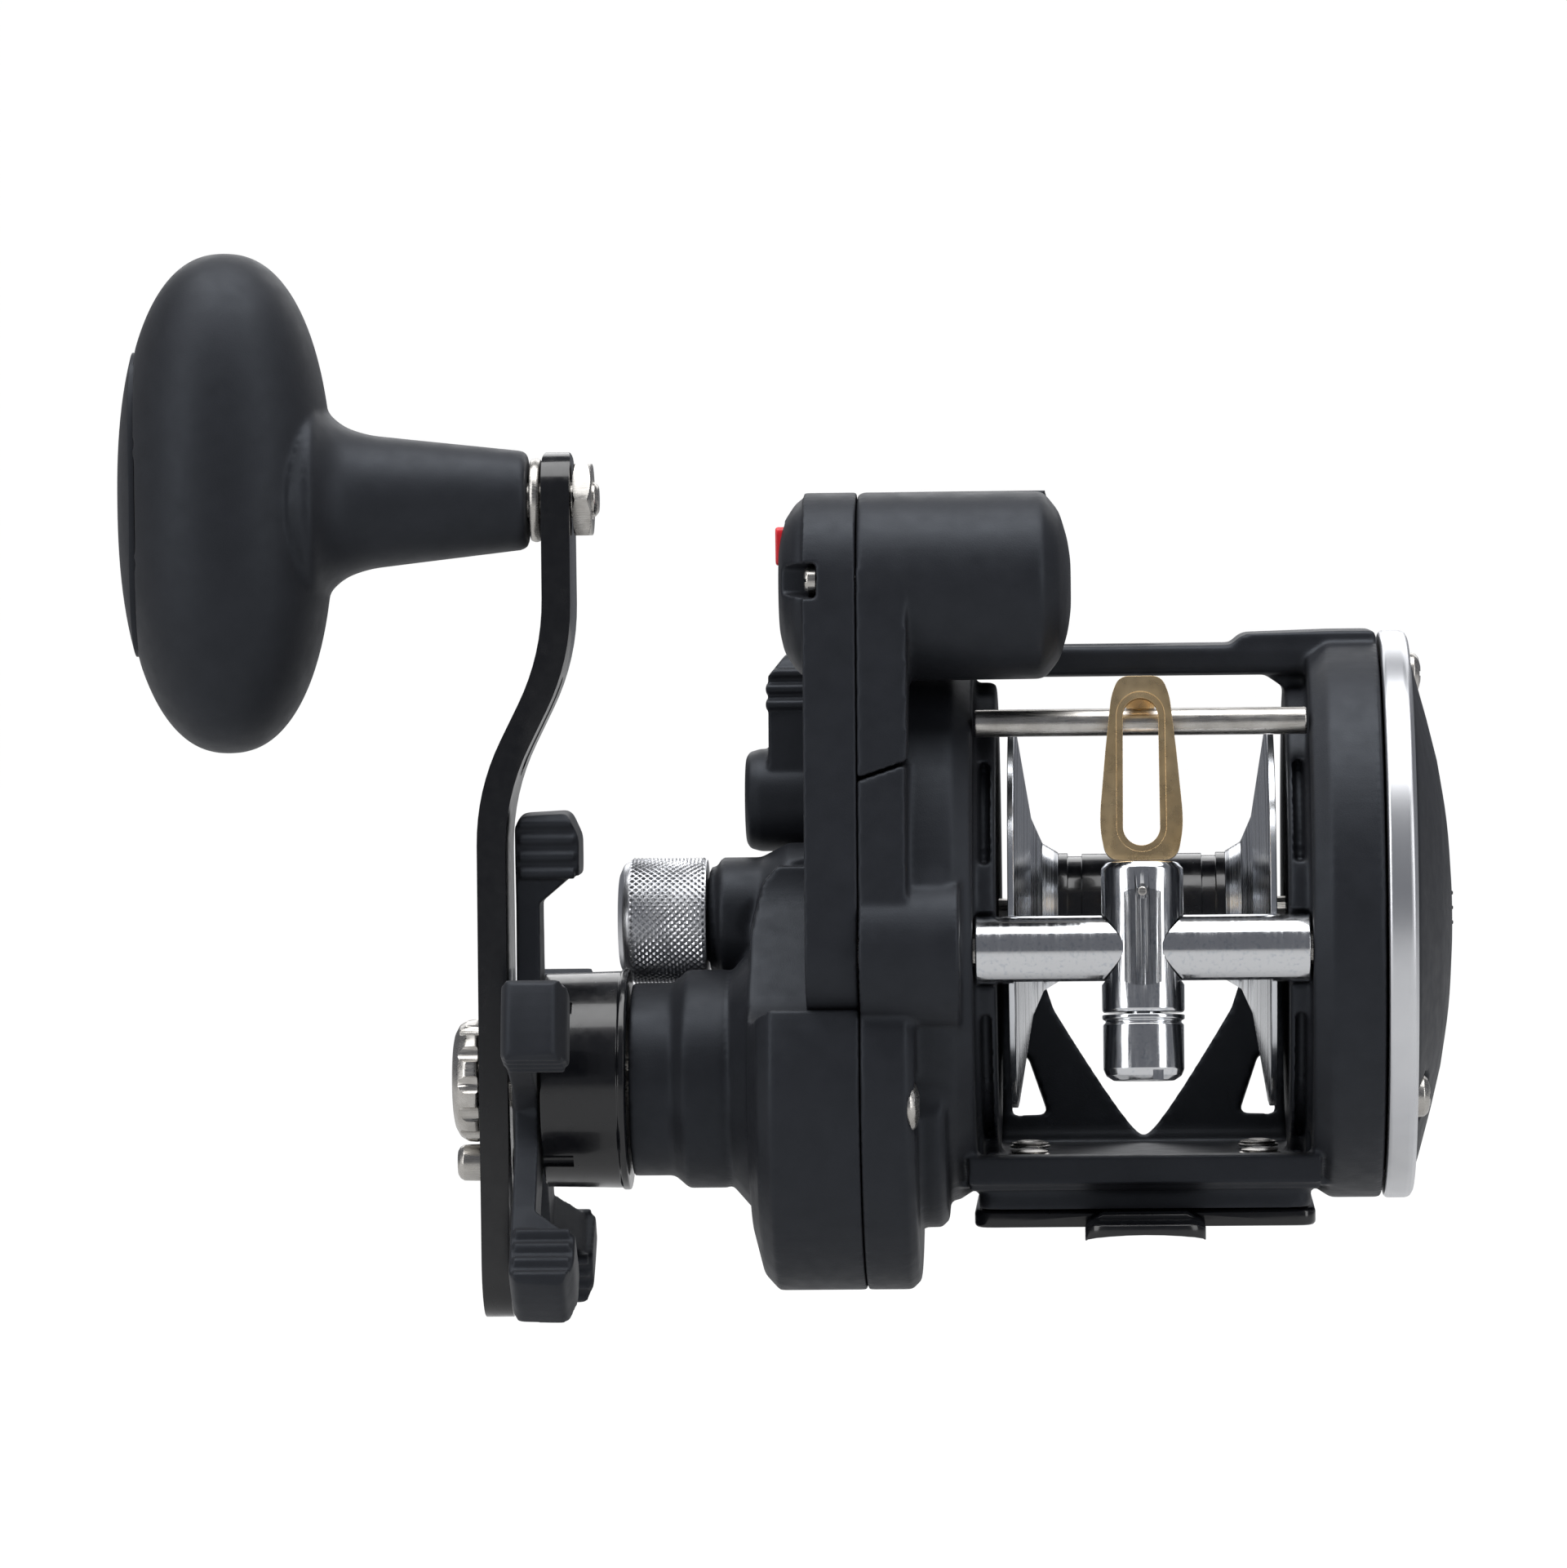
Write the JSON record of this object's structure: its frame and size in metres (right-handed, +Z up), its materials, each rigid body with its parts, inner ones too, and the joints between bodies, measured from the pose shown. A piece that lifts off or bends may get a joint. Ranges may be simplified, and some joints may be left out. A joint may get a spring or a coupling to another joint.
{
  "type": "trolling reel",
  "caption": "Level-wind trolling reel with a line counter, star drag, bent crank handle with an oval knob, and a riveted saddle foot.",
  "frame": {"origin": "centre of the seat under the reel foot", "axes": "+X along the spool axis away from the handle, -Y towards the rod tip, +Z up from the rod"},
  "size_m": [0.1693, 0.0811, 0.135],
  "materials": {
    "body_plastic": "fine-grained matte black moulding",
    "gloss_black": "glossy black anodised or moulded finish",
    "soft_black": "soft-touch matt black coating",
    "satin_aluminium": "satin turned aluminium",
    "chrome": "bright plated",
    "steel": "turned stainless steel",
    "brass": "polished brass-coloured",
    "red_button": "bright red moulding",
    "gear_white": "white acetal",
    "lens": "clear lens",
    "fibre": "woven drag fibre"
  },
  "bodies": {
    "root": {"frame": "body_plastic", "reel_foot": "gloss_black", "foot_rivet_1": "steel", "foot_rivet_2": "steel", "foot_rivet_3": "steel", "foot_rivet_4": "steel", "stabilizer_rod": "steel", "worm_tube": "chrome", "idler_axle": "steel", "spool_bearing_left": "steel", "spool_bearing_right": "steel", "anti_reverse_bearing": "steel", "gear_cover": "body_plastic", "counter_drive_cover": "body_plastic", "counter_housing": "body_plastic", "counter_window": "lens", "palm_trim_ring": "satin_aluminium", "palm_cap": "body_plastic", "palm_screw_1": "steel", "palm_screw_2": "steel", "palm_screw_3": "steel", "cover_screw": "steel", "counter_screw": "steel"},
    "crank": {"drive_shaft": "steel", "main_gear": "brass", "drag_washer": "fibre", "drag_pressure_plate": "steel", "handle_arm": "gloss_black", "handle_nut": "steel", "handle_lock_screw": "steel", "knob_axle": "steel", "knob_washer": "steel", "knob_nut": "steel"},
    "star": {"star_drag": "body_plastic", "drag_sleeve": "gloss_black"},
    "grip": {"knob": "soft_black", "knob_cap": "soft_black"},
    "spool_set": {"spool": "satin_aluminium", "spool_shaft": "steel", "levelwind_drive_gear": "brass", "click_ratchet": "brass"},
    "yoke": {"clutch_yoke": "steel"},
    "pinion": {"pinion_gear": "brass"},
    "lever": {"freespool_lever": "body_plastic"},
    "idler": {"levelwind_idler_gear": "gear_white"},
    "worm": {"worm_shaft": "steel", "worm_gear": "gear_white"},
    "lower_idler": {"counter_idler_lower": "gear_white"},
    "upper_idler": {"counter_idler_upper": "gear_white"},
    "units": {"counter_shaft": "steel", "units_wheel": "gear_white"},
    "tens": {"tens_wheel": "gear_white"},
    "hundreds": {"hundreds_wheel": "gear_white"},
    "carriage": {"pawl_carriage": "chrome", "line_guide": "brass", "guide_pin": "steel", "pawl_cap": "chrome"},
    "tension": {"tension_knob": "satin_aluminium"},
    "reset": {"reset_button": "red_button"},
    "clicker": {"clicker_button": "gloss_black"}
  },
  "joints": [
    {"name": "handle_spin", "type": "hinge", "parent": "root", "child": "crank", "pos_m": [0, -0.0112, 0.0181], "axis": [1, 0, 0], "continuous": true},
    {"name": "star_turn", "type": "hinge", "parent": "crank", "child": "star", "pos_m": [0, -0.0112, 0.0181], "axis": [1, 0, 0], "range_deg": [-270, 270]},
    {"name": "knob_spin", "type": "hinge", "parent": "crank", "child": "grip", "pos_m": [0, -0.0112, 0.0915], "axis": [1, 0, 0], "continuous": true},
    {"name": "spool_spin", "type": "hinge", "parent": "root", "child": "spool_set", "pos_m": [0, 0, 0.0376], "axis": [1, 0, 0], "continuous": true},
    {"name": "lever_turn", "type": "hinge", "parent": "root", "child": "lever", "pos_m": [-0.0457, 0.008, 0.0526], "axis": [-1, 0, 0], "range_deg": [0, 40]},
    {"name": "yoke_slide", "type": "slide", "parent": "root", "child": "yoke", "axis": [-1, 0, 0], "range_m": [0, 0.002]},
    {"name": "pinion_spin", "type": "hinge", "parent": "yoke", "child": "pinion", "pos_m": [0, 0, 0.0376], "axis": [1, 0, 0], "continuous": true},
    {"name": "idler_spin", "type": "hinge", "parent": "root", "child": "idler", "pos_m": [0, -0.01402, 0.04686], "axis": [1, 0, 0], "continuous": true},
    {"name": "worm_spin", "type": "hinge", "parent": "root", "child": "worm", "pos_m": [0, -0.0302, 0.0351], "axis": [1, 0, 0], "continuous": true},
    {"name": "lower_idler_spin", "type": "hinge", "parent": "root", "child": "lower_idler", "pos_m": [0, -0.02232, 0.04763], "axis": [1, 0, 0], "continuous": true},
    {"name": "upper_idler_spin", "type": "hinge", "parent": "root", "child": "upper_idler", "pos_m": [0, -0.01923, 0.06577], "axis": [1, 0, 0], "continuous": true},
    {"name": "units_spin", "type": "hinge", "parent": "root", "child": "units", "pos_m": [0, -0.0225, 0.0802], "axis": [1, 0, 0], "continuous": true},
    {"name": "tens_spin", "type": "hinge", "parent": "root", "child": "tens", "pos_m": [0, -0.0225, 0.0802], "axis": [1, 0, 0], "continuous": true},
    {"name": "hundreds_spin", "type": "hinge", "parent": "root", "child": "hundreds", "pos_m": [0, -0.0225, 0.0802], "axis": [1, 0, 0], "continuous": true},
    {"name": "carriage_slide", "type": "slide", "parent": "root", "child": "carriage", "axis": [1, 0, 0], "range_m": [-0.0125, 0.0125]},
    {"name": "tension_turn", "type": "hinge", "parent": "root", "child": "tension", "pos_m": [0, 0, 0.0376], "axis": [1, 0, 0], "range_deg": [-270, 270]},
    {"name": "reset_press", "type": "slide", "parent": "root", "child": "reset", "axis": [1, 0, 0], "range_m": [0, 0.0011], "stiffness_N_per_m": 600, "springref_m": -0.0003},
    {"name": "clicker_slide", "type": "slide", "parent": "root", "child": "clicker", "axis": [0, 0, 1], "range_m": [-0.003, 0.003]}
  ],
  "couplings": [
    {"joint": "spool_spin", "follows": "handle_spin", "ratio": -5.1},
    {"joint": "pinion_spin", "follows": "handle_spin", "ratio": -5.1},
    {"joint": "idler_spin", "follows": "handle_spin", "ratio": 2.04},
    {"joint": "worm_spin", "follows": "handle_spin", "ratio": -3.06},
    {"joint": "lower_idler_spin", "follows": "handle_spin", "ratio": 1.8626},
    {"joint": "upper_idler_spin", "follows": "handle_spin", "ratio": -1.8626},
    {"joint": "units_spin", "follows": "handle_spin", "ratio": 3.06},
    {"joint": "tens_spin", "follows": "handle_spin", "ratio": 0.306},
    {"joint": "hundreds_spin", "follows": "handle_spin", "ratio": 0.0306},
    {"joint": "lever_turn", "follows": "yoke_slide", "rad_per_m": 349.07}
  ]
}
